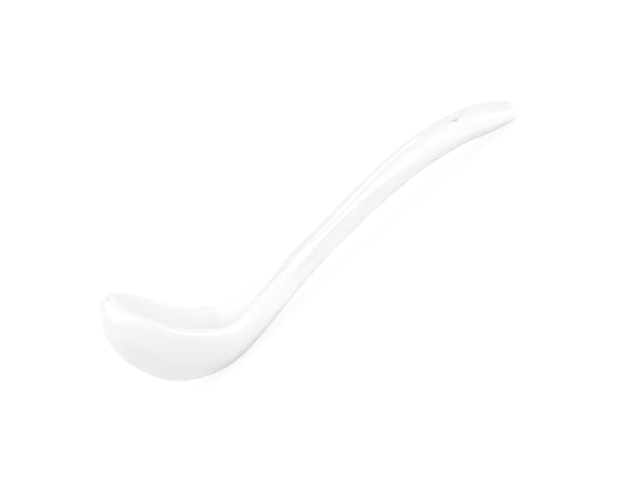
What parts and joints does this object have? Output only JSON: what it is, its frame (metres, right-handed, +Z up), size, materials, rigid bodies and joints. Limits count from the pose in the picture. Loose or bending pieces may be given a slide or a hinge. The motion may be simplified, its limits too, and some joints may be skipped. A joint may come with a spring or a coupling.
{
  "type": "spice spoon",
  "caption": "Glazed porcelain spoon with a deep oval bowl, a rounded lip, a hollow that runs out along the neck, and an arched handle with a hanging hole, for scooping and tasting spices.",
  "frame": {"origin": "on the table, under the middle of the spoon as it lies", "axes": "+X from the bowl along the spoon to the tip of the handle, +Y across the spoon, +Z up from the table"},
  "size_m": [0.1286, 0.0268, 0.0371],
  "materials": {
    "bowl_glaze": "glossy white glaze, with an unglazed ground foot",
    "handle_glaze": "glossy white glaze"
  },
  "bodies": {
    "root": {"bowl": "bowl_glaze", "handle": "handle_glaze"}
  },
  "joints": []
}
